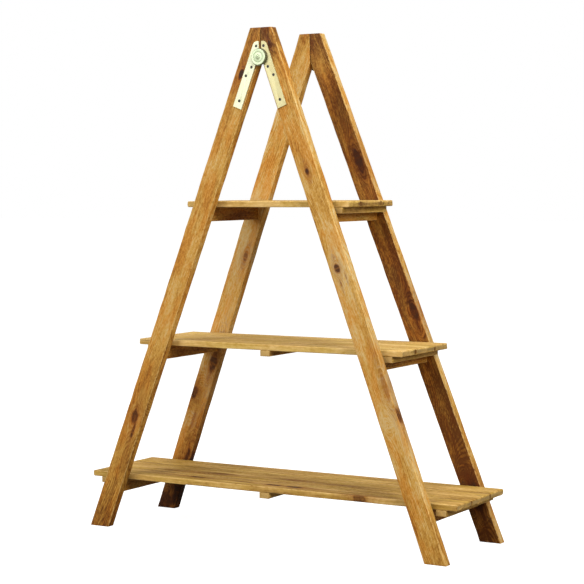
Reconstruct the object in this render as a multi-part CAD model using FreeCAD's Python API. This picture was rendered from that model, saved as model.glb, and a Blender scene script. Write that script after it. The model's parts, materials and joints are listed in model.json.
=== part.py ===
import FreeCAD
import Part
import math
import os

# Folding A-frame ladder shelf. Two ladders are hinged together at the peak and three
# loose shelves rest on their rungs. Millimetres. +X runs along the shelves, +Y to the
# back, +Z up. The origin is on the floor under the middle of the shelf.

# Whole frame
overall_height = 1200.0
leg_angle = 21.0           # each leg's slope from plumb, in the plane of the A
depth_at_floor = 306.0     # outside of the front legs to outside of the back legs
depth_at_top = 244.0
peak_above_crotch = 66.0   # flat top of the legs above where their inner edges meet
mitre_gap = 1.2            # daylight between the two legs' faces above the crotch
pivot_below_crotch = 3.0   # hinge's pivot below the same point

# Legs and rungs
leg_width = 51.0
leg_thickness = 22.0
rung_height = 34.0
rung_thickness = 18.0
bottom_rung_top = 117.5
middle_rung_top = 451.0
top_rung_top = 785.0

# Dowels that join each rung to its legs, two to an end
dowel_diameter = 8.0
dowel_spacing = 16.0
dowel_in_leg = 13.0
dowel_in_rung = 27.0
dowel_play = 0.05

# Shelves: three boards edge to edge on cleats that run front to back
board_thickness = 14.0
centre_board_width = 96.0
board_joint = 0.8
board_edge_radius = 1.5
shelf_side_clearance = 5.0
cleat_width = 26.0
cleat_height = 14.0
bottom_cleat_play = 16.0   # rung's outer face to the end cleat
middle_cleat_play = 5.5
top_cleat_play = 3.0
bottom_overhang = 26.0     # end cleat to the shelf's end
middle_overhang = 26.0
top_overhang = 16.0

# Countersunk wood screws: from below through the cleats, and through the hinge arms
cleat_screw_length = 23.0
cleat_screw_diameter = 3.6
cleat_screw_from_joint = 14.0
hinge_screw_length = 18.0
hinge_screw_diameter = 3.6
screw_head_diameter = 7.0
screw_head_height = 1.7
screw_slot_width = 1.1
screw_slot_length = 4.2
screw_slot_depth = 0.9
screw_tip_length = 3.0
screw_play = 0.05
hole_extra = 1.0           # holes run on past the ends of what they hold

# Strap hinges on the outer faces of the two As
arm_width = 23.5
arm_from_edge = 3.5        # leg's inner edge to the arm
arm_above_crotch = 30.0    # to the tip of the arm's round end
arm_below_crotch = 132.0
arm_thickness = 2.5
arm_centre_gap = 3.8       # arm's tip to the middle of the A
ear_radius = 17.0
ear_thickness = 4.5
cup_radius = 20.0
cup_wall = 2.2
turning_gap = 0.6          # between hinge leaves that turn on each other
rivet_diameter = 8.0
rivet_play = 0.08
rivet_end_play = 0.2       # between the rivet's ends and what they lie against
rivet_head_diameter = 11.0
rivet_head_height = 2.2
rivet_dimple_radius = 2.2
rivet_dimple_depth = 1.2
cover_rim = 1.6            # cup's edge to the cover disc's edge
cover_thickness = 2.4
cover_edge_chamfer = 0.7
cover_groove_radius = 12.0
cover_groove_width = 2.0
cover_groove_depth = 0.5
# Screw places on an arm: distance down the leg from the crotch, and share of arm width
arm_screw_places = ((-18.0, 0.60), (31.5, 0.36), (55.0, 0.67), (115.0, 0.50))

# Worked out from the sizes above
slope = math.tan(math.radians(leg_angle))
leg_run = leg_width / math.cos(math.radians(leg_angle))
crotch_height = overall_height - peak_above_crotch
pivot_height = crotch_height - pivot_below_crotch
lean = (depth_at_floor - depth_at_top) / 2 / overall_height
lean_angle = math.degrees(math.atan(lean))
reach = overall_height + depth_at_floor


def outer_face_y(height):
    """Distance from the middle plane to the outer face of a leg, at a height."""
    return depth_at_floor / 2 - lean * height


def inner_face_y(height):
    """Distance from the middle plane to the inner face of a leg, at a height."""
    return outer_face_y(height) - leg_thickness


def inner_edge_x(height):
    """Distance from the middle of the A to a leg's inner edge, at a height."""
    return (crotch_height - height) * slope


def rung_centre_x(rung_top):
    return inner_edge_x(rung_top - rung_height / 2) + leg_run / 2


def prism(points, direction):
    """Solid made by pushing a flat outline along a direction."""
    corners = [FreeCAD.Vector(*point) for point in points]
    outline = Part.makePolygon(corners + corners[:1])
    return Part.Face(outline).extrude(FreeCAD.Vector(*direction))


def slab(inner, outer, back):
    """Leaning slab between two distances from the middle plane, full width."""
    side = 1 if back else -1
    points = [
        (-reach, side * inner(-reach), -reach),
        (-reach, side * outer(-reach), -reach),
        (-reach, side * outer(reach), reach),
        (-reach, side * inner(reach), reach),
    ]
    return prism(points, (2 * reach, 0, 0))


def gap_between_ladders_sides():
    """Space between the front legs' and the back legs' inner faces."""
    points = [
        (-reach, -inner_face_y(0), 0),
        (-reach, inner_face_y(0), 0),
        (-reach, inner_face_y(overall_height), overall_height),
        (-reach, -inner_face_y(overall_height), overall_height),
    ]
    return prism(points, (2 * reach, 0, 0))


def box(x, y, z):
    """Box from three (low, high) pairs."""
    corner = FreeCAD.Vector(x[0], y[0], z[0])
    return Part.makeBox(x[1] - x[0], y[1] - y[0], z[1] - z[0], corner)


def rod(start, direction, radius, length):
    return Part.makeCylinder(radius, length, FreeCAD.Vector(*start), FreeCAD.Vector(*direction))


def hinge_place(back, level=False):
    """Placement of a hinge on the outer face of an A, with its pivot near the peak.

    Hinge shapes are drawn flat: x along the shelf, y up the A, z out from the wood.
    The arms and the cover disc lean with the wood. The rivets are level, so that both
    turn about one axis.
    """
    tilt = 90 if level else 90 - lean_angle
    lay = FreeCAD.Rotation(FreeCAD.Vector(1, 0, 0), tilt)
    origin = FreeCAD.Vector(0, -outer_face_y(pivot_height), pivot_height)
    place = FreeCAD.Placement(origin, lay)
    if back:
        turn = FreeCAD.Placement(
            FreeCAD.Vector(0, 0, 0), FreeCAD.Rotation(FreeCAD.Vector(0, 0, 1), 180)
        )
        place = turn.multiply(place)
    return place


def placed(shape, place):
    moved = shape.copy()
    moved.Placement = place.multiply(moved.Placement)
    return moved


def arm_point(side, along, out):
    """Flat hinge coordinates of a point that is along down a leg from the crotch, and
    out across the leg from its inner edge."""
    angle = math.radians(leg_angle)
    x = along * math.sin(angle) + out * math.cos(angle)
    y = out * math.sin(angle) - along * math.cos(angle) + pivot_below_crotch
    return (side * x, y, 0)


def arm_screw_points(side):
    """Middles of the screw heads, flush with the arm's outer face."""
    points = []
    for along, share in arm_screw_places:
        point = FreeCAD.Vector(*arm_point(side, along, arm_from_edge + share * arm_width))
        points.append(point + FreeCAD.Vector(0, 0, arm_thickness))
    return points


def screw(length, diameter):
    """Countersunk screw along -z, its head's flat top at z = 0."""
    profile = [
        (0, 0, 0),
        (screw_head_diameter / 2, 0, 0),
        (diameter / 2, 0, -screw_head_height),
        (diameter / 2, 0, -(length - screw_tip_length)),
        (0, 0, -length),
    ]
    corners = [FreeCAD.Vector(*point) for point in profile]
    face = Part.Face(Part.makePolygon(corners + corners[:1]))
    solid = face.revolve(FreeCAD.Vector(0, 0, 0), FreeCAD.Vector(0, 0, 1), 360)
    half = screw_slot_length / 2
    wide = screw_slot_width / 2
    deep = (-screw_slot_depth, screw_slot_depth)
    cross = box((-half, half), (-wide, wide), deep)
    cross = cross.fuse(box((-wide, wide), (-half, half), deep))
    return solid.cut(cross)


def screw_hole(length, diameter):
    """Room for a screw along -z, with its countersink at z = 0."""
    shank = rod((0, 0, 0), (0, 0, -1), diameter / 2 + screw_play, length + hole_extra)
    sink = Part.makeCone(
        diameter / 2 + screw_play,
        screw_head_diameter / 2 + screw_play,
        screw_head_height,
        FreeCAD.Vector(0, 0, -screw_head_height),
    )
    return shank.fuse(sink)


def dowel_places(rung_top):
    middle = rung_top - rung_height / 2
    return (middle - dowel_spacing / 2, middle + dowel_spacing / 2)


def dowels(side, back, rung_top, play=0.0, extra=0.0):
    """The two dowels at one end of a rung, or with play their holes."""
    out = 1 if back else -1
    pins = []
    for height in dowel_places(rung_top):
        start = out * (inner_face_y(height) - dowel_in_rung - extra)
        length = dowel_in_rung + dowel_in_leg + 2 * extra
        pins.append(
            rod(
                (side * rung_centre_x(rung_top), start, height),
                (0, out, 0),
                dowel_diameter / 2 + play,
                length,
            )
        )
    return pins


def leg(side, back):
    """Straight leg: mitred at the peak, flat on top and cut level at the floor."""
    points = []
    for height, run in ((-reach, 0), (-reach, leg_run), (reach, leg_run), (reach, 0)):
        points.append((side * (inner_edge_x(height) + run), -reach, height))
    body = prism(points, (0, 2 * reach, 0))
    body = body.common(slab(inner_face_y, outer_face_y, back))
    half = (mitre_gap / 2, reach) if side > 0 else (-reach, -mitre_gap / 2)
    body = body.common(box(half, (-reach, reach), (0, overall_height)))
    for rung_top in rung_tops.values():
        for hole in dowels(side, back, rung_top, dowel_play, hole_extra):
            body = body.cut(hole)
    hinge_side = -side if back else side
    for point in arm_screw_points(hinge_side):
        hole = screw_hole(hinge_screw_length, hinge_screw_diameter)
        hole.translate(point)
        body = body.cut(placed(hole, hinge_place(back)))
    return body


def rung(side, rung_top):
    """Plumb bar from the front leg to the back leg, centred on their width."""
    centre = side * rung_centre_x(rung_top)
    half = rung_thickness / 2
    body = box((centre - half, centre + half), (-reach, reach), (rung_top - rung_height, rung_top))
    body = body.common(gap_between_ladders_sides())
    for back in (False, True):
        for hole in dowels(side, back, rung_top, dowel_play, hole_extra):
            body = body.cut(hole)
    return body


def rung_dowels(side):
    pins = []
    for rung_top in rung_tops.values():
        for back in (False, True):
            pins += dowels(side, back, rung_top)
    return Part.makeCompound(pins)


def shelf_depth(rung_top):
    """Front to back, with clearance to the legs at the level of the shelf's top."""
    return 2 * (inner_face_y(rung_top + board_thickness) - shelf_side_clearance)


def shelf_half_length(name):
    reach_to_cleat = rung_centre_x(rung_tops[name]) + rung_thickness / 2 + cleat_plays[name]
    return reach_to_cleat + cleat_width + overhangs[name]


def cleat_centres(name):
    end = shelf_half_length(name) - overhangs[name] - cleat_width / 2
    centres = {"left_cleat": -end, "right_cleat": end}
    if name in shelves_with_centre_cleat:
        centres["centre_cleat"] = 0.0
    return centres


def board_edges(name):
    """Front and back edge of each board across the shelf."""
    half_depth = shelf_depth(rung_tops[name]) / 2
    half_centre = centre_board_width / 2
    return {
        "front_board": (-half_depth, -half_centre - board_joint),
        "centre_board": (-half_centre, half_centre),
        "back_board": (half_centre + board_joint, half_depth),
    }


def cleat_screw_points(name):
    """Two screws into each board at each cleat."""
    points = []
    for centre in cleat_centres(name).values():
        for front, back in board_edges(name).values():
            points.append((centre, front + cleat_screw_from_joint))
            points.append((centre, back - cleat_screw_from_joint))
    return points


def cleat_screw_place(name, x, y):
    """Placement of a screw that is driven upwards from a cleat's underside."""
    over = FreeCAD.Rotation(FreeCAD.Vector(1, 0, 0), 180)
    return FreeCAD.Placement(FreeCAD.Vector(x, y, rung_tops[name] - cleat_height), over)


def with_screw_holes(name, body):
    """Cut the holes of the cleat screws that pass through a body."""
    box_round = body.BoundBox
    for x, y in cleat_screw_points(name):
        if box_round.XMin < x < box_round.XMax and box_round.YMin < y < box_round.YMax:
            hole = screw_hole(cleat_screw_length, cleat_screw_diameter)
            body = body.cut(placed(hole, cleat_screw_place(name, x, y)))
    return body


def board(name, front, back):
    half = shelf_half_length(name)
    low = rung_tops[name]
    body = box((-half, half), (front, back), (low, low + board_thickness))
    long_edges = [edge for edge in body.Edges if abs(edge.tangentAt(0).x) > 0.5]
    body = body.makeFillet(board_edge_radius, long_edges)
    return with_screw_holes(name, body)


def cleat(name, centre):
    half_depth = shelf_depth(rung_tops[name]) / 2
    high = rung_tops[name]
    body = box(
        (centre - cleat_width / 2, centre + cleat_width / 2),
        (-half_depth, half_depth),
        (high - cleat_height, high),
    )
    return with_screw_holes(name, body)


def shelf_screws(name):
    solids = []
    for x, y in cleat_screw_points(name):
        one = screw(cleat_screw_length, cleat_screw_diameter)
        solids.append(placed(one, cleat_screw_place(name, x, y)))
    return Part.makeCompound(solids)


def arm_strip(side, thickness):
    """Flat bar along a leg, round at its upper end and clipped clear of the middle."""
    round_radius = arm_width / 2
    round_centre = round_radius - arm_above_crotch
    corners = [
        arm_point(side, round_centre, arm_from_edge),
        arm_point(side, round_centre, arm_from_edge + arm_width),
        arm_point(side, arm_below_crotch, arm_from_edge + arm_width),
        arm_point(side, arm_below_crotch, arm_from_edge),
    ]
    strip = prism(corners, (0, 0, thickness))
    middle = arm_point(side, round_centre, arm_from_edge + round_radius)
    strip = strip.fuse(rod(middle, (0, 0, 1), round_radius, thickness))
    keep = (arm_centre_gap, reach) if side > 0 else (-reach, -arm_centre_gap)
    return strip.common(box(keep, (-reach, reach), (-thickness, 2 * thickness)))


def with_arm_holes(side, body):
    for point in arm_screw_points(side):
        hole = screw_hole(hinge_screw_length, hinge_screw_diameter)
        hole.translate(point)
        body = body.cut(hole)
    return body


def with_rivet_hole(body):
    """Cut the level hole that a rivet passes through."""
    radius = rivet_diameter / 2 + rivet_play
    hole = rod((0, 0, 0), (0, 0, 1), radius, 2 * cover_top())
    hole.translate(FreeCAD.Vector(0, 0, -cover_top() / 2))
    hole.rotate(FreeCAD.Vector(0, 0, 0), FreeCAD.Vector(1, 0, 0), lean_angle)
    return body.cut(hole)


def flat_arm(side):
    """Arm whose thick round ear lies on the wood under the cup."""
    ear = rod((0, 0, 0), (0, 0, 1), ear_radius, ear_thickness)
    body = arm_strip(side, arm_thickness).fuse(ear).removeSplitter()
    return with_arm_holes(side, with_rivet_hole(body))


def cupped_arm(side):
    """Arm pressed up into a round cup that turns over the flat arm's ear."""
    cup_floor = ear_thickness + turning_gap
    cup_top = cup_floor + arm_thickness
    inner = rod((0, 0, 0), (0, 0, 1), cup_radius - cup_wall, cup_floor)
    wall = arm_strip(side, cup_top).common(rod((0, 0, 0), (0, 0, 1), cup_radius, cup_top))
    lid = rod((0, 0, cup_floor), (0, 0, 1), cup_radius, arm_thickness)
    body = arm_strip(side, arm_thickness).fuse(wall).cut(inner).fuse(lid).removeSplitter()
    return with_arm_holes(side, with_rivet_hole(body))


def cover_bottom():
    return ear_thickness + arm_thickness + 2 * turning_gap


def cover_top():
    return cover_bottom() + cover_thickness


def cover_disc():
    """Turned disc over the cup, with a chamfered edge and one ring groove."""
    radius = cup_radius - cover_rim
    groove_in = cover_groove_radius - cover_groove_width / 2
    groove_out = cover_groove_radius + cover_groove_width / 2
    groove_floor = cover_top() - cover_groove_depth
    profile = [
        (0, 0, cover_bottom()),
        (radius, 0, cover_bottom()),
        (radius, 0, cover_top() - cover_edge_chamfer),
        (radius - cover_edge_chamfer, 0, cover_top()),
        (groove_out, 0, cover_top()),
        (groove_out - cover_groove_depth, 0, groove_floor),
        (groove_in + cover_groove_depth, 0, groove_floor),
        (groove_in, 0, cover_top()),
        (0, 0, cover_top()),
    ]
    corners = [FreeCAD.Vector(*point) for point in profile]
    face = Part.Face(Part.makePolygon(corners + corners[:1]))
    disc = face.revolve(FreeCAD.Vector(0, 0, 0), FreeCAD.Vector(0, 0, 1), 360)
    return with_rivet_hole(disc)


def hinge_rivet():
    """Level rivet with a low dimpled head outside, its shank just clear of the wood."""
    head_bottom = cover_top() + rivet_end_play
    head_radius = rivet_head_diameter / 2
    dome_radius = (head_radius ** 2 + rivet_head_height ** 2) / (2 * rivet_head_height)
    centre = FreeCAD.Vector(0, 0, head_bottom + rivet_head_height - dome_radius)
    dome = Part.makeSphere(dome_radius, centre)
    keep = rod((0, 0, head_bottom), (0, 0, 1), head_radius, rivet_head_height)
    shank_length = head_bottom - rivet_end_play
    shank = rod((0, 0, rivet_end_play), (0, 0, 1), rivet_diameter / 2, shank_length)
    dimple = Part.makeCone(
        0,
        rivet_dimple_radius,
        rivet_dimple_depth,
        FreeCAD.Vector(0, 0, head_bottom + rivet_head_height - rivet_dimple_depth),
    )
    return dome.common(keep).fuse(shank).removeSplitter().cut(dimple)


def arm_screws(side):
    solids = []
    for point in arm_screw_points(side):
        one = screw(hinge_screw_length, hinge_screw_diameter)
        one.translate(point)
        solids.append(one)
    return Part.makeCompound(solids)


rung_tops = {"bottom": bottom_rung_top, "middle": middle_rung_top, "top": top_rung_top}
cleat_plays = {
    "bottom": bottom_cleat_play,
    "middle": middle_cleat_play,
    "top": top_cleat_play,
}
overhangs = {"bottom": bottom_overhang, "middle": middle_overhang, "top": top_overhang}
shelves_with_centre_cleat = ("bottom", "middle")


def save(node, shape):
    shape.exportStep(os.path.join("parts", node + ".step"))


os.makedirs("parts", exist_ok=True)

for ladder, side in (("left", -1), ("right", 1)):
    save(ladder + "_front_leg", leg(side, False))
    save(ladder + "_back_leg", leg(side, True))
    for level, rung_top in rung_tops.items():
        save(ladder + "_" + level + "_rung", rung(side, rung_top))
    save(ladder + "_rung_dowels", rung_dowels(side))

for level in rung_tops:
    for piece, (front, back) in board_edges(level).items():
        save(level + "_shelf_" + piece, board(level, front, back))
    for piece, centre in cleat_centres(level).items():
        save(level + "_shelf_" + piece, cleat(level, centre))
    save(level + "_shelf_screws", shelf_screws(level))

# Both hinges are alike. The back one is the front one turned half round, so its
# cupped arm is on the left ladder and the front one's is on the right ladder.
for end, back in (("front", False), ("back", True)):
    place = hinge_place(back)
    flat_side, cupped_side = ("right", "left") if back else ("left", "right")
    save(end + "_hinge_" + flat_side + "_arm", placed(flat_arm(-1), place))
    save(end + "_hinge_" + cupped_side + "_arm", placed(cupped_arm(1), place))
    save(end + "_hinge_cover_disc", placed(cover_disc(), place))
    save(end + "_hinge_rivet", placed(hinge_rivet(), hinge_place(back, level=True)))
    save(end + "_hinge_" + flat_side + "_screws", placed(arm_screws(-1), place))
    save(end + "_hinge_" + cupped_side + "_screws", placed(arm_screws(1), place))
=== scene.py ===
"""Looks of the ladder shelf: stained pine ladders and boards, yellow-zinc strap hinges."""

import json
import math

import bmesh
import bpy
import numpy as np
from mathutils import Matrix, Vector


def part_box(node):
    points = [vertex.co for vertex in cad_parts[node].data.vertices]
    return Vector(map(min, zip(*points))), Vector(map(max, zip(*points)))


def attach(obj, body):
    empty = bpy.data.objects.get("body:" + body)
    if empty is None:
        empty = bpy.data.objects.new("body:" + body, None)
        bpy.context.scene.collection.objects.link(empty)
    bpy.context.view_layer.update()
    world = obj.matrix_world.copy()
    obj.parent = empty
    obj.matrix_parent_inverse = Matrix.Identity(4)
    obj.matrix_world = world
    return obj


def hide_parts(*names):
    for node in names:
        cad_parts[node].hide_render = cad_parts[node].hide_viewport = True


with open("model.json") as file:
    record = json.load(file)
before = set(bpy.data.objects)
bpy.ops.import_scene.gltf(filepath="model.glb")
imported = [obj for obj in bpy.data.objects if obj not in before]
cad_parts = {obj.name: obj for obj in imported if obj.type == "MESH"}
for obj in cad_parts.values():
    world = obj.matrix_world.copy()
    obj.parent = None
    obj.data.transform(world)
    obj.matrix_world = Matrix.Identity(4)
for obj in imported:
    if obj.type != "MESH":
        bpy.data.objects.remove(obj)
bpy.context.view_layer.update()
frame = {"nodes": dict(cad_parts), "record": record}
scene = bpy.context.scene


# ---------------------------------------------------------------------------
# Studio: a pale seamless floor, one large soft light on the right, a weaker
# one on the left and one overhead. The camera looks down along the front from
# the right, a little above the middle shelf.
# ---------------------------------------------------------------------------

def node(tree, kind, feeds=(), **settings):
    """Add a shader node. Feeds gives each input a value or another node's output. Settings
    are made first, because a group node has no inputs until it has its tree."""
    made = tree.nodes.new(kind)
    for key, value in settings.items():
        setattr(made, key, value)
    for key, value in dict(feeds).items():
        if isinstance(value, bpy.types.NodeSocket):
            tree.links.new(value, made.inputs[key])
        else:
            made.inputs[key].default_value = value
    return made


camera = bpy.data.objects.new("camera", bpy.data.cameras.new("camera"))
camera.data.lens = 110.0
camera.data.sensor_width = 36.0
camera_place = (2.216, -3.624, 0.844)
camera_heading = math.radians(31.376)
camera_tilt = math.radians(90.0 - 3.537)
camera_roll = math.radians(-0.398)
camera.matrix_world = (
    Matrix.Translation(camera_place)
    @ Matrix.Rotation(camera_heading, 4, "Z")
    @ Matrix.Rotation(camera_tilt, 4, "X")
    @ Matrix.Rotation(camera_roll, 4, "Z")
)
scene.collection.objects.link(camera)
scene.camera = camera

floor_mesh = bpy.data.meshes.new("floor")
floor_reach = 30.0
corners = ((-1, -1), (1, -1), (1, 1), (-1, 1))
floor_mesh.from_pydata(
    [(floor_reach * x, floor_reach * y, 0.0) for x, y in corners], [], [(0, 1, 2, 3)]
)
floor = bpy.data.objects.new("floor", floor_mesh)
scene.collection.objects.link(floor)

floor_paper = bpy.data.materials.new("floor_paper")
floor_paper.use_nodes = True
tree = floor_paper.node_tree
tree.nodes.clear()
seen = node(tree, "ShaderNodeLightPath").outputs["Is Camera Ray"]
dim = node(tree, "ShaderNodeBsdfDiffuse", {"Color": (0.22, 0.20, 0.18, 1)})
pale = node(tree, "ShaderNodeBsdfDiffuse", {"Color": (0.37, 0.37, 0.37, 1)})
glow = node(tree, "ShaderNodeEmission", {"Color": (1, 1, 1, 1), "Strength": 0.93})
lit = node(tree, "ShaderNodeAddShader", {0: pale.outputs[0], 1: glow.outputs[0]})
mix = node(tree, "ShaderNodeMixShader", {0: seen, 1: dim.outputs[0], 2: lit.outputs[0]})
node(tree, "ShaderNodeOutputMaterial", {"Surface": mix.outputs[0]})
floor_mesh.materials.append(floor_paper)

world = bpy.data.worlds.new("studio")
scene.world = world
world.use_nodes = True
tree = world.node_tree
tree.nodes.clear()
seen = node(tree, "ShaderNodeLightPath").outputs["Is Camera Ray"]
room = node(tree, "ShaderNodeBackground", {"Color": (1.0, 0.99, 0.97, 1), "Strength": 0.42})
paper = node(tree, "ShaderNodeBackground", {"Color": (1, 1, 1, 1), "Strength": 1.0})
mix = node(tree, "ShaderNodeMixShader", {0: seen, 1: room.outputs[0], 2: paper.outputs[0]})
node(tree, "ShaderNodeOutputWorld", {"Surface": mix.outputs[0]})


def soft_light(name, place, aim, size, power):
    """Square softbox at place, turned to face aim."""
    light = bpy.data.lights.new(name, "AREA")
    light.size = size
    light.energy = power
    lamp = bpy.data.objects.new(name, light)
    lamp.location = place
    lamp.rotation_euler = (Vector(aim) - Vector(place)).to_track_quat("-Z", "Y").to_euler()
    scene.collection.objects.link(lamp)


soft_light("key", place=(3.6, -1.9, 2.6), aim=(0.0, 0.0, 0.6), size=2.2, power=150.0)
soft_light("fill", place=(-2.2, -3.5, 2.6), aim=(0.0, 0.0, 0.6), size=2.2, power=130.0)
soft_light("overhead", place=(0.4, 0.4, 3.4), aim=(0.0, 0.0, 0.5), size=2.0, power=60.0)

scene.view_settings.view_transform = "Standard"
scene.view_settings.look = "None"


# ---------------------------------------------------------------------------
# Legs: four straight pine boards, planed, stained honey brown and oiled. Each
# is cut level at the floor, flat on top, and mitred against its partner above
# the hinge. The long edges are eased by hand, so their rounding varies.
# ---------------------------------------------------------------------------

leg_angle = math.radians(21.0)
leg_width = 0.051
leg_thickness = 0.022
leg_edge = 0.0025
leg_end = 0.0012
least_leg_edge = 0.0006
mitre_edge = 0.0008
# Painted shade: the mitre faces, in the narrow gap between partner legs, are darkened by this
# much.
mitre_gap_shade = 0.6
soaked_stain = 0.35
soaked_length = 0.09
log_per_leg = 1.7
ring_gap = 0.008
crease_angle = math.radians(40)
leg_low, leg_high = (np.array(corner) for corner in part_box("right_back_leg"))
mitre_face = leg_low[0]
top_height = leg_high[2]
outer_at_floor = leg_high[1]
lean = (leg_high[1] - leg_low[1] - leg_thickness) / top_height
slope = math.tan(leg_angle)
leg_run = leg_width / math.cos(leg_angle)
crotch_height = (leg_high[0] - leg_run) / slope


def wander(along, seed, wavelength):
    """Smooth line between about -1 and 1: the mean of six sine waves along a length,
    their wavelengths from half to twice the one given and their phases random."""
    chance = np.random.default_rng(seed)
    waves = wavelength * chance.uniform(0.5, 2.0, 6)
    phases = chance.uniform(0, 2 * np.pi, 6)
    return 2.0 * np.sin(2 * np.pi * np.multiply.outer(along, 1 / waves) + phases).mean(-1)


def stations(low, high, step, easing, extra=()):
    """Places along a bar, and how far its section shrinks at each. Near an end the place
    is end + easing * (1 - cos t) and the shrink easing * (1 - sin t), a quarter circle."""
    t = np.linspace(0, np.pi / 2, 4)[:-1]
    middle = np.linspace(low + easing, high - easing, int((high - low) / step) + 2)
    middle = np.unique(np.concatenate([middle, np.array(extra)]))
    start = low + easing * (1 - np.cos(t))
    stop = high - easing * (1 - np.cos(t[::-1]))
    shrink = easing * (1 - np.sin(t))
    place = np.concatenate([start, middle, stop])
    return place, np.concatenate([shrink, 0 * middle, shrink[::-1]])


def eased_sections(low, high, radius, arc_points=4, side_points=3):
    """Rounded rectangles, one to a station, and how far round a corner each point is.

    A corner is centre + radius * (cos t, sin t) over its quarter turn; the points of a
    straight side are shares of the line from one corner's end to the next one's start.
    Low and high are (stations, 2) and radius is (stations, 4).
    """
    signs = np.array([(1, 1), (-1, 1), (-1, -1), (1, -1)])
    middle = ((low + high) / 2)[:, None]
    half = ((high - low) / 2)[:, None]
    centre = middle + signs * (half - radius[:, :, None])
    quarter = np.linspace(0, np.pi / 2, arc_points)
    t = quarter + np.arange(4)[:, None] * np.pi / 2
    arc = centre[:, :, None] + radius[:, :, None, None] * np.stack([np.cos(t), np.sin(t)], -1)
    share = np.linspace(0, 1, side_points + 2)[1:-1, None]
    side = arc[:, :, -1:] + (np.roll(arc, -1, axis=1)[:, :, :1] - arc[:, :, -1:]) * share
    sections = np.concatenate([arc, side], axis=2).reshape(len(low), -1, 2)
    round_share = np.concatenate([np.sin(2 * quarter), np.zeros(side_points)])
    return sections, np.tile(round_share, 4)


def by_face(values, points, arc_points=4):
    """A value for each point of a section from one for each side of it, in the order high
    second, low first, low second, high first. Corners run evenly from side to side."""
    values = np.array(values, float)
    turn = np.linspace(0, 1, arc_points)
    before = np.roll(values, 1)[:, None]
    arc = before + (values[:, None] - before) * turn
    side = np.repeat(values[:, None], points // 4 - arc_points, axis=1)
    return np.concatenate([arc, side], axis=1).ravel()


def wooden_bar(name, rings, grain, edge, material, stain_light_and_shade, offset, end_stain=1.0):
    """Closed solid from rings of points: four-sided faces between neighbouring rings, and
    a fan from a middle point over each end. Stores where each point lies in the plank, how
    rounded off it is there, how much more stain it took together with painted light and
    shade (lighter or darker faces where lamps fall or shade lies), which stretch of a long
    log the plank was sawn from, and how much the cut ends drank."""
    n, m, _ = rings.shape
    points = np.concatenate([rings.reshape(-1, 3), rings[[0, -1]].mean(axis=1)])
    index = np.arange(n * m).reshape(n, m)
    after = np.roll(index, -1, axis=1)
    quads = np.stack([index[:-1], after[:-1], after[1:], index[1:]], -1).reshape(-1, 4)
    start = np.stack([after[0], index[0], np.full(m, n * m)], -1)
    stop = np.stack([index[-1], after[-1], np.full(m, n * m + 1)], -1)
    fans = np.concatenate([start, stop])
    corner = points[fans] - points.mean(axis=0)
    if np.einsum("ij,ij->", corner[:, 0], np.cross(corner[:, 1], corner[:, 2])) < 0:
        quads, fans = quads[:, ::-1], fans[:, ::-1]
    mesh = bpy.data.meshes.new(name)
    mesh.from_pydata(points.tolist(), [], quads.tolist() + fans.tolist())
    grain = np.concatenate([grain.reshape(-1, 3), grain[[0, -1]].mean(axis=1)])
    edge = np.concatenate([np.broadcast_to(edge, (n, m)).ravel(), [0, 0]])
    stain_light_and_shade = np.broadcast_to(stain_light_and_shade, (n, m))
    stain_light_and_shade = np.concatenate([stain_light_and_shade.ravel(), stain_light_and_shade[[0, -1]].mean(axis=1)])
    cut = np.concatenate([np.zeros(quads.size), np.full(fans.size, end_stain)])
    for kind, domain, label, values in (
        ("FLOAT_VECTOR", "POINT", "grain", grain),
        ("FLOAT", "POINT", "log", np.full(len(grain), offset)),
        ("FLOAT", "POINT", "edge", edge),
        ("FLOAT", "POINT", "stain_light_and_shade", stain_light_and_shade),
        ("FLOAT", "CORNER", "end_cut", cut),
    ):
        layer = mesh.attributes.new(label, kind, domain)
        key = "vector" if kind == "FLOAT_VECTOR" else "value"
        layer.data.foreach_set(key, values.astype(np.float32).ravel())
    mesh.polygons.foreach_set("use_smooth", np.ones(len(mesh.polygons), bool))
    mesh.set_sharp_from_angle(angle=crease_angle)
    mesh.materials.append(material)
    bar = bpy.data.objects.new(name, mesh)
    scene.collection.objects.link(bar)
    return bar


def arithmetic(tree, operation, a, b=0.0, c=0.0):
    """One sum on up to three values or outputs. MULTIPLY_ADD is a * b + c."""
    return node(tree, "ShaderNodeMath", {0: a, 1: b, 2: c}, operation=operation).outputs[0]


def vector_arithmetic(tree, operation, a, b):
    """One sum on two vectors, component by component."""
    return node(tree, "ShaderNodeVectorMath", {0: a, 1: b}, operation=operation).outputs[0]


def ease(tree, value, low, high, to_low=0.0, to_high=1.0):
    """Smooth step from to_low to to_high as a value goes from low to high."""
    return node(
        tree, "ShaderNodeMapRange",
        {"Value": value, "From Min": low, "From Max": high, "To Min": to_low, "To Max": to_high},
        interpolation_type="SMOOTHSTEP",
    ).outputs[0]


def stretched_noise(tree, vector, scale, detail=2.0, roughness=0.5):
    """Noise whose grains are 1 / scale metres long along, across and through a piece."""
    scaled = vector_arithmetic(tree, "MULTIPLY", vector, scale)
    return node(
        tree, "ShaderNodeTexNoise",
        {"Vector": scaled, "Scale": 1.0, "Detail": detail, "Roughness": roughness},
    ).outputs["Fac"]


def new_group(name, inputs, outputs):
    """Shader group with float or vector inputs, given by their defaults, and outputs."""
    group = bpy.data.node_groups.new(name, "ShaderNodeTree")
    for label, default in inputs.items():
        kind = "NodeSocketVector" if isinstance(default, tuple) else "NodeSocketFloat"
        group.interface.new_socket(label, in_out="INPUT", socket_type=kind).default_value = default
    for label in outputs:
        group.interface.new_socket(label, in_out="OUTPUT", socket_type="NodeSocketFloat")
    return group, group.nodes.new("NodeGroupInput").outputs, group.nodes.new("NodeGroupOutput")


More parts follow.
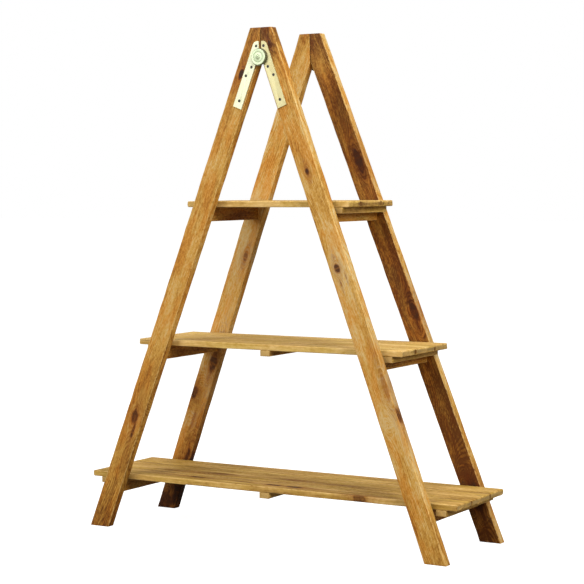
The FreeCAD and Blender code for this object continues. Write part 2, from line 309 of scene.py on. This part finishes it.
def make_knot():
    """One knot, worked out in metres along and across a plank and added to the earlier
    ones. Its distance is that of an ellipse, long with the grain and stretched further
    where asked. Grain bends round it as water does round a post, offset * (radius / d)^2,
    growth rings gather round it, and it trails dark pitch along the grain. The same group
    makes the dark patches of painted shade low on the back legs."""
    group, given, out = new_group(
        "knot",
        {"Grain": (0.0, 0.0, 0.0), "Wobble": 0.5, "Along": 0.0, "Across": 0.0, "Radius": 0.01,
         "Stretch": 1.0, "Darkness": 1.0, "Core": 0.0, "Pitch": 0.0, "Bend": 0.0, "Swell": 0.0},
        ("Core", "Pitch", "Bend", "Swell"),
    )
    grain = node(group, "ShaderNodeSeparateXYZ", {0: given["Grain"]}).outputs
    along = arithmetic(group, "SUBTRACT", grain[0], given["Along"])
    along = arithmetic(group, "DIVIDE", along, given["Stretch"])
    along = arithmetic(group, "MULTIPLY", along, 0.6)
    across = arithmetic(group, "SUBTRACT", grain[1], given["Across"])
    squares = arithmetic(group, "MULTIPLY", along, along)
    squares = arithmetic(group, "MULTIPLY_ADD", across, across, squares)
    distance = arithmetic(group, "SQRT", squares)
    share = arithmetic(group, "DIVIDE", distance, given["Radius"])
    wobbly = arithmetic(group, "MULTIPLY_ADD", given["Wobble"], 1.2, 0.4)
    rough_share = arithmetic(group, "MULTIPLY", share, wobbly)
    halo = ease(group, rough_share, 0.8, 2.2, 0.45, 0.0)
    core = arithmetic(group, "MAXIMUM", ease(group, rough_share, 0.4, 1.2, 1.0, 0.0), halo)
    core = arithmetic(group, "MULTIPLY", core, given["Darkness"])
    beside = arithmetic(group, "DIVIDE", arithmetic(group, "ABSOLUTE", across), given["Radius"])
    beyond = arithmetic(group, "DIVIDE", arithmetic(group, "ABSOLUTE", along), given["Radius"])
    pitch = arithmetic(
        group, "MULTIPLY", ease(group, beside, 0.2, 1.3, 1.0, 0.0),
        ease(group, beyond, 0.8, 3.5, 1.0, 0.0),
    )
    pitch = arithmetic(group, "MULTIPLY", pitch, given["Darkness"])
    flow = arithmetic(group, "DIVIDE", 1.0, arithmetic(group, "MAXIMUM", share, 1.0))
    flow = arithmetic(group, "MULTIPLY", flow, flow)
    flow = arithmetic(group, "MULTIPLY", flow, ease(group, share, 1.5, 3.2, 1.0, 0.0))
    results = (
        arithmetic(group, "MAXIMUM", given["Core"], core),
        arithmetic(group, "MAXIMUM", given["Pitch"], pitch),
        arithmetic(group, "MULTIPLY_ADD", flow, across, given["Bend"]),
        arithmetic(group, "MULTIPLY_ADD", flow, distance, given["Swell"]),
    )
    for socket, value in zip(out.inputs, results):
        group.links.new(value, socket)
    return group


def make_wood_figure():
    """Figure of sawn pine, worked out in metres along, across and through the plank.

    Growth rings are even steps of the distance from a pith line that wanders along the
    plank, and each ring darkens slowly and ends sharply. Streaks, fibres, mottling and
    blotches are noise stretched along the grain. Cracks are where a stretched noise
    crosses one half. Knots bend the grain by Bend and push the rings out by Swell.
    """
    group, given, out = new_group(
        "wood_figure",
        {"Grain": (0.0, 0.0, 0.0), "Bend": 0.0, "Swell": 0.0, "Fineness": 1.0,
         "Ring Spacing": 0.0036, "Pith Depth": 0.045, "Waver": 0.04},
        ("Streak", "Ring", "Fibre", "Mottle", "Blotch", "Hue", "Crack", "Height"),
    )
    grain = node(group, "ShaderNodeSeparateXYZ", {0: given["Grain"]}).outputs
    bent = arithmetic(group, "SUBTRACT", grain[1], given["Bend"])
    pulled = node(group, "ShaderNodeCombineXYZ", {0: grain[0], 1: bent, 2: grain[2]}).outputs[0]
    pulled = node(
        group, "ShaderNodeVectorMath", {0: pulled, "Scale": given["Fineness"]}, operation="SCALE"
    ).outputs[0]

    drift = stretched_noise(group, pulled, (4.0, 12, 12), 2.0)
    drift = arithmetic(group, "SUBTRACT", drift, 0.5)
    sideways = arithmetic(group, "MULTIPLY_ADD", drift, given["Waver"], bent)
    deep = arithmetic(group, "ADD", grain[2], given["Pith Depth"])
    from_pith = arithmetic(group, "MULTIPLY", sideways, sideways)
    from_pith = arithmetic(group, "MULTIPLY_ADD", deep, deep, from_pith)
    from_pith = arithmetic(group, "SQRT", from_pith)
    from_pith = arithmetic(group, "MULTIPLY_ADD", drift, 0.02, from_pith)
    from_pith = arithmetic(group, "ADD", from_pith, given["Swell"])
    ring = arithmetic(group, "DIVIDE", from_pith, given["Ring Spacing"])
    ring = arithmetic(group, "FRACT", ring)
    ring = arithmetic(
        group, "MULTIPLY", ease(group, ring, 0.25, 0.85), ease(group, ring, 0.9, 1.0, 1.0, 0.0)
    )
    streak = stretched_noise(group, pulled, (9.0, 170, 170), 3.0, 0.6)
    fibre = stretched_noise(group, pulled, (60, 1300, 1300), 2.0)
    mottle = stretched_noise(group, pulled, (120, 240, 240), 3.0, 0.7)
    blotch = stretched_noise(group, pulled, (8.0, 32, 32), 2.0)
    elsewhere = vector_arithmetic(group, "ADD", pulled, (5.3, 2.1, 7.7))
    hue = stretched_noise(group, elsewhere, (12, 40, 40), 3.0, 0.6)
    cracked = stretched_noise(group, elsewhere, (4.0, 120, 120), 1.0)
    cracked = arithmetic(group, "ABSOLUTE", arithmetic(group, "SUBTRACT", cracked, 0.5))
    crack = ease(group, cracked, 0.002, 0.012, 1.0, 0.0)
    here = stretched_noise(group, pulled, (3.0, 30, 30), 1.0)
    crack = arithmetic(group, "MULTIPLY", crack, ease(group, here, 0.62, 0.70))
    height = arithmetic(group, "MULTIPLY", ring, 0.35)
    height = arithmetic(group, "MULTIPLY_ADD", fibre, 0.9, height)
    height = arithmetic(group, "MULTIPLY_ADD", mottle, 0.8, height)
    height = arithmetic(group, "MULTIPLY_ADD", crack, -2.5, height)
    results = (streak, ring, fibre, mottle, blotch, hue, crack, height)
    for socket, value in zip(out.inputs, results):
        group.links.new(value, socket)
    return group


knot_group = make_knot()
wood_figure = make_wood_figure()
crack_colour = (0.05, 0.022, 0.008)


def blend_colours(tree, share, first, second, how="MIX"):
    """First colour mixed by the share with the second, or, if asked, with their product."""
    return node(
        tree, "ShaderNodeMix", {0: share, 6: first, 7: second}, data_type="RGBA", blend_type=how
    ).outputs[2]


def stained_wood(name, colours, warm, knot_and_shade_tint, knot_and_shade_colour, end_colour, worn_and_highlight_colour, weights,
                 roughness, figure=(), knots_and_shade_patches=()):
    """Stained softwood. The stain runs through four colours from dark to light, chosen by
    a weighted sum of streaks, mottling, blotches, fibres and rings, and shifts in hue in
    patches. Cut ends drink more of it, and rubbed edges have less, so they turn lighter,
    partly from wear and partly as a painted highlight. Each knot, or patch of painted
    shade, is given by its place along and across the plank, radius, stretch and darkness."""
    material = bpy.data.materials.new(name)
    material.use_nodes = True
    tree = material.node_tree
    shader = tree.nodes["Principled BSDF"]
    read = {
        label: node(tree, "ShaderNodeAttribute", attribute_name=label)
        for label in ("grain", "log", "edge", "end_cut", "stain_light_and_shade")
    }
    place = read["grain"].outputs["Vector"]
    from_butt = node(
        tree, "ShaderNodeVectorMath", {0: (1.0, 0.13, 0.0), "Scale": read["log"].outputs["Fac"]},
        operation="SCALE",
    ).outputs[0]
    in_log = vector_arithmetic(tree, "ADD", place, from_butt)
    wobble = stretched_noise(tree, in_log, (35, 110, 110), 2.0, 0.45)
    met = {label: 0.0 for label in ("Core", "Pitch", "Bend", "Swell")}
    for along, across, radius, stretch, darkness in knots_and_shade_patches:
        asked = {
            "Grain": place, "Wobble": wobble, "Along": along, "Across": across,
            "Radius": radius, "Stretch": stretch, "Darkness": darkness,
        }
        knot = node(tree, "ShaderNodeGroup", asked | met, node_tree=knot_group).outputs
        met = {label: knot[label] for label in met}
    bends = {label: met[label] for label in ("Bend", "Swell")}
    asked = {"Grain": in_log} | bends | dict(figure)
    part = node(tree, "ShaderNodeGroup", asked, node_tree=wood_figure).outputs
    # The stain attribute darkens the tone with real stain and also with painted light and shade.
    tone = arithmetic(tree, "MULTIPLY", read["stain_light_and_shade"].outputs["Fac"], -1.0)
    for label, weight in weights.items():
        centred = arithmetic(tree, "SUBTRACT", part[label], 0.3 if label == "Ring" else 0.5)
        tone = arithmetic(tree, "MULTIPLY_ADD", centred, weight, tone)
    tone = arithmetic(tree, "ADD", tone, 0.5)
    ramp = node(tree, "ShaderNodeValToRGB", {0: tone})
    stops = ramp.color_ramp.elements
    stops[0].position, stops[0].color = 0.0, colours[0] + (1,)
    stops[1].position, stops[1].color = 1.0, colours[3] + (1,)
    for position, colour in ((0.33, colours[1]), (0.66, colours[2])):
        stops.new(position).color = colour + (1,)
    colour = ramp.outputs[0]
    shifted = blend_colours(tree, 1.0, colour, warm + (1,), "MULTIPLY")
    colour = blend_colours(tree, ease(tree, part["Hue"], 0.42, 0.62), colour, shifted)
    # Painted highlight and wear: rounded edges are mixed towards a lighter colour.
    rubbed_and_highlight = arithmetic(
        tree, "MULTIPLY", read["edge"].outputs["Fac"], ease(tree, part["Mottle"], 0.3, 0.55)
    )
    rubbed_and_highlight = arithmetic(tree, "MULTIPLY", rubbed_and_highlight, 0.7)
    colour = blend_colours(tree, rubbed_and_highlight, colour, worn_and_highlight_colour + (1,))
    if knots_and_shade_patches:
        # Knots darken and redden the wood here, and so do the patches of painted shade low on the
        # back legs.
        veined = arithmetic(tree, "MULTIPLY", met["Pitch"], ease(tree, part["Mottle"], 0.4, 0.6))
        dark = arithmetic(tree, "MAXIMUM", met["Core"], arithmetic(tree, "MULTIPLY", veined, 0.8))
        dark = arithmetic(tree, "MULTIPLY", dark, ease(tree, part["Mottle"], 0.35, 0.6, 0.86, 1.0))
        redder = blend_colours(tree, 1.0, colour, knot_and_shade_tint + (1,), "MULTIPLY")
        colour = blend_colours(tree, dark, colour, redder)
        colour = blend_colours(tree, ease(tree, dark, 0.66, 1.0), colour, knot_and_shade_colour + (1,))
    colour = blend_colours(tree, part["Crack"], colour, crack_colour + (1,))
    drunk = ease(tree, part["Blotch"], 0.35, 0.65, 0.9, 0.5)
    end_share = arithmetic(tree, "MULTIPLY", read["end_cut"].outputs["Fac"], drunk)
    colour = blend_colours(tree, end_share, colour, end_colour + (1,))
    tree.links.new(colour, shader.inputs["Base Color"])
    dull = ease(tree, part["Mottle"], 0.35, 0.65, roughness[1], roughness[0])
    tree.links.new(dull, shader.inputs["Roughness"])
    bump = node(
        tree, "ShaderNodeBump", {"Height": part["Height"], "Strength": 0.6, "Distance": 0.00018}
    )
    tree.links.new(bump.outputs[0], shader.inputs["Normal"])
    shader.inputs["Specular IOR Level"].default_value = 0.14
    return material


ladder_stain = {
    "colours": ((0.110, 0.034, 0.004), (0.325, 0.145, 0.020), (0.530, 0.290, 0.056),
                (0.590, 0.450, 0.215)),
    "warm": (0.98, 0.80, 0.57),
    "knot_and_shade_tint": (0.42, 0.20, 0.09),
    "knot_and_shade_colour": (0.040, 0.012, 0.003),
    "end_colour": (0.26, 0.15, 0.05),
    "worn_and_highlight_colour": (0.70, 0.46, 0.16),
    "weights": {"Streak": 0.65, "Mottle": 0.95, "Blotch": 0.9, "Fibre": 0.6, "Ring": -0.2},
    "roughness": (0.5, 0.68),
}
ladder_wood = stained_wood("ladder_wood", **ladder_stain)


def inner_edge(height):
    """Leg's inner edge from the middle of the A, stopped at the mitre above the crotch."""
    return np.maximum((crotch_height - height) * slope, mitre_face)


def add_leg(name, side, end, body, face_stains_and_light, tones, knots_and_shade_patches, seed):
    """Level sections of a leg from the floor up: across from the inner to the outer edge,
    through from the inner to the outer face, which lean in by the same share of height.
    Stain is given for the outer face, inner edge, inner face and outer edge; where the outer
    edge is lighter, that is painted light on the side that faces the key lamp. To it come the
    tones, for even steps of height from the floor up, and a deeper stain near the top end.
    Side is -1 for the left ladder and 1 for the right, end -1 for its front and 1 for its back.
    """
    place, shrink = stations(0.0, top_height, ring_gap, leg_end, [crotch_height])
    outer_edge = (crotch_height - place) * slope + leg_run
    outer_face = outer_at_floor - lean * place
    low = np.stack([inner_edge(place) + shrink, outer_face - leg_thickness + shrink], -1)
    high = np.stack([outer_edge - shrink, outer_face - shrink], -1)
    rub = np.stack([wander(place, seed + k, 0.09) for k in range(4)], -1)
    radius = leg_edge * (1 + 0.35 * rub) * (1 - 0.6 * shrink / leg_end)[:, None]
    mitred = place > crotch_height
    radius[mitred, 1:3] = mitre_edge
    sections, edge = eased_sections(low, high, np.maximum(radius, least_leg_edge))
    x, y = sections[..., 0], sections[..., 1]
    z = np.broadcast_to(place[:, None], x.shape)
    rings = np.stack([side * x, end * y, z], -1)
    along = z * math.cos(leg_angle) - x * math.sin(leg_angle)
    across = x * math.cos(leg_angle) + z * math.sin(leg_angle)
    across = across - crotch_height * math.sin(leg_angle) - leg_width / 2
    through = (y + lean * z - outer_at_floor + leg_thickness / 2) * end
    grain = np.stack([along, across, through], -1)
    # Mitre faces get painted shade and lose the lighter rubbed edge.
    in_mitre = np.outer(mitred, by_face((0, 1, 0, 0), edge.size))
    tone = np.interp(place / top_height, np.linspace(0, 1, len(tones)), tones)[:, None]
    soaked = soaked_stain * np.clip(1 - (top_height - place) / soaked_length, 0, 1)[:, None]
    stain_light_and_shade = by_face(face_stains_and_light, edge.size) + tone + soaked + mitre_gap_shade * in_mitre
    edge = edge * (1 - in_mitre)
    wood = stained_wood(f"{name}_wood", knots_and_shade_patches=knots_and_shade_patches, **ladder_stain)
    leg = wooden_bar(f"wooden_{name}", rings, grain, edge, wood, stain_light_and_shade, seed * log_per_leg)
    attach(leg, body)
    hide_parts(name)


# Each knot, or patch of painted shade, is its place along the leg and across it, radius, stretch
# and darkness.
# The right legs' lighter outer edges, the last of the face stains, are painted light on the sides
# that face the key lamp.
add_leg(
    "left_front_leg", side=-1, end=-1, body="left_ladder", face_stains_and_light=(0.0, 0.05, 0.1, 0.05),
    tones=(0.2, 0.05, -0.1, -0.2, -0.05, 0.0), seed=11,
    knots_and_shade_patches=[
        (1.003, 0.0097, 0.0095, 1.3, 1.0), (0.131, -0.002, 0.0150, 1.2, 0.9),
        (0.097, -0.0086, 0.006, 3.5, 0.9),
    ],
)
add_leg(
    "right_front_leg", side=1, end=-1, body="right_ladder", face_stains_and_light=(-0.10, 0.0, 0.1, -0.22),
    tones=(0.15, -0.1, -0.2, -0.1, -0.05, 0.25), seed=12,
    knots_and_shade_patches=[
        (1.077, 0.0069, 0.006, 1.2, 0.92), (0.763, -0.002, 0.0075, 1.2, 0.95),
        (0.531, -0.0047, 0.0095, 1.1, 0.93), (0.505, 0.0102, 0.0025, 3.0, 0.8),
        (0.494, -0.0075, 0.0025, 3.0, 0.8), (0.243, 0.019, 0.011, 2.8, 0.72),
        (0.172, 0.0268, 0.003, 8.0, 0.9), (0.155, -0.003, 0.012, 1.3, 0.1),
    ],
)
add_leg(
    "left_back_leg", side=-1, end=1, body="left_ladder", face_stains_and_light=(0.0, -0.05, -0.14, 0.0),
    tones=(0.25, -0.05, -0.1, -0.2, 0.0, -0.1), seed=13,
    knots_and_shade_patches=[
        (0.543, -0.0109, 0.010, 1.5, 0.82), (0.256, -0.011, 0.015, 2.2, 0.9),
        (0.212, -0.0089, 0.005, 3.0, 0.7), (0.157, 0.0180, 0.014, 1.3, 0.92),
        (0.150, 0.0045, 0.009, 2.4, 0.5), (0.088, -0.0016, 0.006, 4.0, 0.75),
        # Painted shade: these two are no knots but a dark patch under the bottom shelf, near the
        # foot.
        (-0.165, 0.008, 0.036, 1.2, 0.95), (-0.080, -0.020, 0.030, 2.6, 1.0),
    ],
)
add_leg(
    "right_back_leg", side=1, end=1, body="right_ladder", face_stains_and_light=(0.0, 0.1, 0.44, -0.18),
    tones=(0.05, 0.05, -0.1, -0.05, -0.1, -0.35), seed=14,
    knots_and_shade_patches=[
        (0.790, 0.009, 0.014, 2.4, 0.95), (0.404, 0.0145, 0.016, 1.7, 0.95),
        # Painted shade: the last two are no knots but a dark patch under the bottom shelf, near
        # the foot.
        (0.370, 0.0121, 0.007, 2.0, 0.85), (-0.055, 0.004, 0.024, 1.6, 0.9),
        (-0.140, -0.004, 0.030, 2.5, 0.5),
    ],
)


# ---------------------------------------------------------------------------
# Rungs: six plumb bars of the same stained pine, three to a ladder. They are
# butted between the front and the back leg and held by hidden dowels.
# ---------------------------------------------------------------------------

rung_edge = 0.0016
rung_rings = 34
# Painted shade: the left top rung, in the shade under the top shelf, is darkened.
rung_shade = {"left_top_rung": 0.22}


def inner_face(height):
    """Half the space between the front and the back legs: less with the lean of both."""
    return outer_at_floor - leg_thickness - lean * height


for count, (ladder, level) in enumerate(
    (ladder, level) for ladder in ("left", "right") for level in ("bottom", "middle", "top")
):
    node_name = f"{ladder}_{level}_rung"
    low, high = (np.array(corner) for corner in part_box(node_name))
    place = np.linspace(-1, 1, rung_rings)
    corners_low = np.tile(low[[0, 2]], (len(place), 1))
    corners_high = np.tile(high[[0, 2]], (len(place), 1))
    radius = rung_edge * (1 + 0.3 * wander(place, 40 + count, 0.4))
    sections, edge = eased_sections(corners_low, corners_high, np.tile(radius[:, None], 4))
    x, z = sections[..., 0], sections[..., 1]
    y = place[:, None] * inner_face(z)
    rings = np.stack([x, y, z], -1)
    grain = np.stack([y, z - (low[2] + high[2]) / 2, x - (low[0] + high[0]) / 2], -1)
    stain_light_and_shade = rung_shade.get(node_name, 0.0)
    rung = wooden_bar(
        f"wooden_{node_name}", rings, grain, edge, ladder_wood, stain_light_and_shade, offset=30 + count
    )
    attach(rung, f"{ladder}_ladder")
    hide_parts(node_name)


# ---------------------------------------------------------------------------
# Dowels: plain beech pins with short dark flecks, two at each end of a rung,
# glued into blind holes in the rung and in the leg.
# ---------------------------------------------------------------------------

dowel_beech = bpy.data.materials.new("dowel_beech")
dowel_beech.use_nodes = True
tree = dowel_beech.node_tree
shader = tree.nodes["Principled BSDF"]
place = node(tree, "ShaderNodeTexCoord").outputs["Object"]
fleck = stretched_noise(tree, place, (900, 60, 900), 3.0)
pale_beech = (0.56, 0.36, 0.19, 1)
flecked_beech = (0.40, 0.23, 0.11, 1)
colour = blend_colours(tree, ease(tree, fleck, 0.35, 0.65), pale_beech, flecked_beech)
tree.links.new(colour, shader.inputs["Base Color"])
tree.links.new(ease(tree, fleck, 0.3, 0.7, 0.5, 0.7), shader.inputs["Roughness"])


def finish_of(node_name, material):
    """Give a CAD piece one material, in place of its own."""
    mesh = frame["nodes"][node_name].data
    mesh.materials.clear()
    mesh.materials.append(material)


for ladder in ("left", "right"):
    finish_of(f"{ladder}_rung_dowels", dowel_beech)


# ---------------------------------------------------------------------------
# Shelf boards: three to a shelf, laid edge to edge, with a lighter stain that
# leaves long dark streaks. Long edges are eased, ends are left from the saw.
# ---------------------------------------------------------------------------

board_edge = 0.0018
board_end = 0.0030
least_board_edge = 0.0005
board_ring_gap = 0.010
torn_length = 0.02
log_per_board = 1.3

shelf_stain = {
    "colours": ((0.150, 0.062, 0.012), (0.350, 0.190, 0.042), (0.530, 0.320, 0.084),
                (0.700, 0.475, 0.185)),
    "warm": (0.91, 0.92, 0.71),
    "knot_and_shade_tint": (0.44, 0.22, 0.10),
    "knot_and_shade_colour": (0.050, 0.020, 0.006),
    "end_colour": (0.34, 0.225, 0.080),
    "worn_and_highlight_colour": (0.68, 0.47, 0.19),
    "weights": {"Streak": 1.5, "Mottle": 0.7, "Blotch": 0.8, "Fibre": 0.5, "Ring": -0.10},
    "roughness": (0.55, 0.75),
    "figure": {"Waver": 0.06, "Fineness": 0.65},
}
shelf_wood = stained_wood("shelf_wood", **shelf_stain)

shelf_levels = ("bottom", "middle", "top")


def ragged_ends(place, y, z, seed):
    """How far each point of a board near its ends is shifted along it: a saw cut a little
    out of true and torn, as a line across the board plus short waves over the end, all
    fading to nothing over the torn length."""
    chance = np.random.default_rng(seed)
    shift = 0.0
    for end in (place[0], place[-1]):
        near = np.clip(1 - np.abs(place - end) / torn_length, 0, 1)[:, None]
        offset = chance.uniform(-0.0012, 0.0012)
        skew = chance.uniform(-0.012, 0.012)
        torn = 0.0007 * wander(y + 0.7 * z, seed + 5, 0.012)
        shift = shift + near * (offset + skew * (y - y.mean()) + torn)
    return shift


# Painted light on the top and on the front edge of each shelf's boards, as a lighter stain
# where the lamps fall, then the stain on their ends.
board_painted_light = {"bottom": (-0.05, -0.16), "middle": (-0.17, -0.22), "top": (-0.12, -0.28)}
end_stains = {"bottom": 1.0, "middle": 0.95, "top": 0.25}
# Painted shade: board sides that meet a neighbour are darkened, so the creases between boards read
# dark, and they lose the lighter rubbed edge.
seam_shade = 0.5

# Knots and dark streaks: place along and across a board from its middle, radius,
# stretch and darkness, as for the legs.
marks = {
    "bottom_shelf_front_board": [
        (-0.214, 0.003, 0.0065, 3.2, 1.0), (-0.080, -0.002, 0.005, 5.5, 0.95),
        (0.007, -0.006, 0.0090, 2.3, 1.0), (0.070, -0.007, 0.0100, 2.1, 1.0),
        (0.462, 0.032, 0.0030, 6.0, 0.92), (0.256, -0.0380, 0.013, 1.3, 0.88),
    ],
    "bottom_shelf_centre_board": [
        (-0.290, -0.026, 0.0120, 5.0, 0.35), (-0.184, -0.018, 0.009, 3.0, 0.7),
        (0.017, -0.011, 0.008, 2.2, 0.7),
    ],
    "middle_shelf_front_board": [(-0.190, 0.010, 0.0050, 7.0, 0.6)],
    "middle_shelf_centre_board": [(-0.150, 0.004, 0.0080, 5.0, 0.3)],
    "top_shelf_front_board": [(0.135, -0.012, 0.005, 1.8, 0.6)],
}

seed = 60
for level in shelf_levels:
    for part_name in ("front", "centre", "back"):
        seed += 1
        node_name = f"{level}_shelf_{part_name}_board"
        low, high = (np.array(corner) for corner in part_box(node_name))
        place, shrink = stations(low[0], high[0], board_ring_gap, board_end)
        ring_low = low[1:] + shrink[:, None]
        ring_high = high[1:] - shrink[:, None]
        rub = np.stack([wander(place, seed * 4 + k, 0.12) for k in range(4)], -1)
        radius = board_edge * (1 + 0.4 * rub) * (1 - 0.6 * shrink / board_end)[:, None]
        radius = np.maximum(radius, least_board_edge)
        sections, edge = eased_sections(ring_low, ring_high, radius, side_points=5)
        y, z = sections[..., 0], sections[..., 1]
        x = place[:, None] + ragged_ends(place, y, z, seed)
        rings = np.stack([x, y, z], -1)
        grain = np.stack([x, y - (low[1] + high[1]) / 2, z - (low[2] + high[2]) / 2], -1)
        wood = shelf_wood
        if node_name in marks:
            wood = stained_wood(f"{node_name}_wood", knots_and_shade_patches=marks[node_name], **shelf_stain)
        on_top, on_front = board_painted_light[level]
        meets_front = part_name != "front"
        meets_back = part_name != "back"
        seams = by_face((0, meets_front, 0, meets_back), edge.size)
        # Painted light: a lighter top, and a lighter front edge on the front board.
        stain_light_and_shade = by_face((on_top, 0 if meets_front else on_front, 0, 0), edge.size)
        own_stain = 0.06 * wander(seed, seed, 0.7)
        stain_light_and_shade = stain_light_and_shade + seam_shade * seams + own_stain
        edge = edge * (1 - seams)
        board = wooden_bar(
            f"wooden_{node_name}", rings, grain, edge, wood, stain_light_and_shade,
            offset=seed * log_per_board, end_stain=end_stains[level],
        )
        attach(board, f"{level}_shelf")
        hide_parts(node_name)


# ---------------------------------------------------------------------------
# Cleats: battens across the underside of each shelf that hold its boards
# together, one near each end and one in the middle of the two longer shelves.
# ---------------------------------------------------------------------------

cleat_edge = 0.0012
cleat_end = 0.0006
cleat_stain = 0.05
# Painted light: the cleats' cut ends take a lighter end colour, for their lit front ends.
cleat_wood = stained_wood("cleat_wood", **shelf_stain | {"end_colour": (0.50, 0.33, 0.12)})

for level in shelf_levels:
    for part_name in ("left", "centre", "right"):
        node_name = f"{level}_shelf_{part_name}_cleat"
        if node_name not in frame["nodes"]:
            continue
        seed += 1
        low, high = (np.array(corner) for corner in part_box(node_name))
        place, shrink = stations(low[1], high[1], ring_gap, cleat_end)
        ring_low = low[[0, 2]] + shrink[:, None]
        ring_high = high[[0, 2]] - shrink[:, None]
        radius = cleat_edge * (1 + 0.3 * wander(place, seed, 0.08))
        sections, edge = eased_sections(ring_low, ring_high, np.tile(radius[:, None], 4))
        x, z = sections[..., 0], sections[..., 1]
        y = np.broadcast_to(place[:, None], x.shape)
        rings = np.stack([x, y, z], -1)
        grain = np.stack([y, x - (low[0] + high[0]) / 2, z - (low[2] + high[2]) / 2], -1)
        cleat = wooden_bar(
            f"wooden_{node_name}", rings, grain, edge, cleat_wood, cleat_stain,
            offset=seed * log_per_board,
        )
        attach(cleat, f"{level}_shelf")
        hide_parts(node_name)


# ---------------------------------------------------------------------------
# Screws: countersunk cross-head wood screws, yellow zinc up through the cleats
# and black oxide through the hinge arms.
# ---------------------------------------------------------------------------

joints = {joint["name"]: joint for joint in frame["record"]["behaviour"]["joints"]}
pivot = (0.0, 0.0, joints["fold"]["pos_m"][2])
# Colour of the dark rings about the hinge's pivot; the one at the cup's rim is painted shade.
dark_ring_colour = (0.10, 0.10, 0.045, 1)


def plated_metal(name, colours, roughness, metallic, dark_rings=()):
    """Plated steel: cloudy plating between two colours, fine scratches and dull patches.
    Dark rings lie in circles about the hinge's pivot, each given by its radius, half its width
    and how dark it is; at the cup's rim such a ring is painted shade."""
    material = bpy.data.materials.new(name)
    material.use_nodes = True
    tree = material.node_tree
    shader = tree.nodes["Principled BSDF"]
    place = node(tree, "ShaderNodeTexCoord").outputs["Object"]
    cloud = stretched_noise(tree, place, (70, 70, 70), 3.0)
    scratch = stretched_noise(tree, place, (160, 160, 2400), 2.0)
    clouded = ease(tree, cloud, 0.35, 0.65)
    colour = blend_colours(tree, clouded, colours[0] + (1,), colours[1] + (1,))
    apart = vector_arithmetic(tree, "SUBTRACT", place, pivot)
    flat = vector_arithmetic(tree, "MULTIPLY", apart, (1.0, 0.0, 1.0))
    from_pivot = node(tree, "ShaderNodeVectorMath", {0: flat}, operation="LENGTH").outputs["Value"]
    for radius, width, thick in dark_rings:
        off = arithmetic(tree, "ABSOLUTE", arithmetic(tree, "SUBTRACT", from_pivot, radius))
        darkened = ease(tree, off, 0.3 * width, width, thick, 0.0)
        colour = blend_colours(tree, darkened, colour, dark_ring_colour)
    tree.links.new(colour, shader.inputs["Base Color"])
    dull = ease(tree, cloud, 0.3, 0.7, roughness[0], roughness[1])
    tree.links.new(dull, shader.inputs["Roughness"])
    bump = node(tree, "ShaderNodeBump", {"Height": scratch, "Strength": 0.35, "Distance": 0.00006})
    tree.links.new(bump.outputs[0], shader.inputs["Normal"])
    shader.inputs["Metallic"].default_value = metallic
    return material


screw_zinc = plated_metal(
    "screw_zinc", ((0.62, 0.52, 0.26), (0.72, 0.64, 0.38)), (0.3, 0.45), metallic=1.0
)
screw_black = plated_metal(
    "screw_black", ((0.035, 0.032, 0.030), (0.07, 0.06, 0.05)), (0.4, 0.55), metallic=0.7
)

for level in shelf_levels:
    finish_of(f"{level}_shelf_screws", screw_zinc)
for end in ("front", "back"):
    for side in ("left", "right"):
        finish_of(f"{end}_hinge_{side}_screws", screw_black)


# ---------------------------------------------------------------------------
# Hinges: pressed steel arms in yellow zinc, one flat and one cupped, with a
# turned cover disc over the cup and a domed rivet through all of them.
# ---------------------------------------------------------------------------

cup_rim = 0.0195
arm_easing = 0.0004
turned_easing = 0.0002
flat_within = math.radians(1)
smooth_within = math.radians(30)
eased_beyond = math.radians(35)
arm_zinc = {
    "flat": plated_metal(
        "arm_zinc_pale", ((0.66, 0.68, 0.44), (0.74, 0.76, 0.54)), (0.4, 0.55), 0.2
    ),
    "cupped": plated_metal(
        "arm_zinc_yellow", ((0.50, 0.44, 0.20), (0.60, 0.55, 0.28)), (0.4, 0.55), 0.2,
        # Painted shade: a dark ring at the cup's rim, for the shaded side wall of the cup round
        # the cover disc.
        [(cup_rim, 0.0028, 0.95)],
    ),
}
pivot_zinc = plated_metal(
    "pivot_zinc", ((0.50, 0.60, 0.36), (0.60, 0.68, 0.44)), (0.35, 0.5), 0.2,
    # Darker rings on the cover disc and rivet: one 12 mm out, one round the rivet, one at its
    # middle.
    [(0.012, 0.0014, 0.3), (0.0, 0.0028, 0.6), (0.0058, 0.0009, 0.5)],
)


def softened(node_name, material, body, easing):
    """Copy of a CAD part with its loose triangles joined into whole faces, and the sharp
    edges between them rounded off."""
    mesh = bpy.data.meshes.new(f"pressed_{node_name}")
    shape = bmesh.new()
    shape.from_mesh(frame["nodes"][node_name].data)
    bmesh.ops.remove_doubles(shape, verts=shape.verts, dist=0.00001)
    bmesh.ops.dissolve_limit(
        shape, angle_limit=flat_within, verts=shape.verts, edges=shape.edges
    )
    bmesh.ops.recalc_face_normals(shape, faces=shape.faces)
    shape.to_mesh(mesh)
    shape.free()
    mesh.materials.clear()
    mesh.materials.append(material)
    mesh.polygons.foreach_set("use_smooth", np.ones(len(mesh.polygons), bool))
    mesh.set_sharp_from_angle(angle=smooth_within)
    piece = bpy.data.objects.new(mesh.name, mesh)
    scene.collection.objects.link(piece)
    bevel = piece.modifiers.new("eased", "BEVEL")
    bevel.width = easing
    bevel.segments = 2
    bevel.limit_method = "ANGLE"
    bevel.angle_limit = eased_beyond
    bevel.harden_normals = True
    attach(piece, body)
    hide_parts(node_name)


for end, pin_body in (("front", "left_ladder"), ("back", "right_ladder")):
    for side in ("left", "right"):
        kind = "flat" if f"{side}_ladder" == pin_body else "cupped"
        arm = f"{end}_hinge_{side}_arm"
        softened(arm, arm_zinc[kind], f"{side}_ladder", arm_easing)
    for part_name in ("cover_disc", "rivet"):
        turned = f"{end}_hinge_{part_name}"
        softened(turned, pivot_zinc, pin_body, turned_easing)
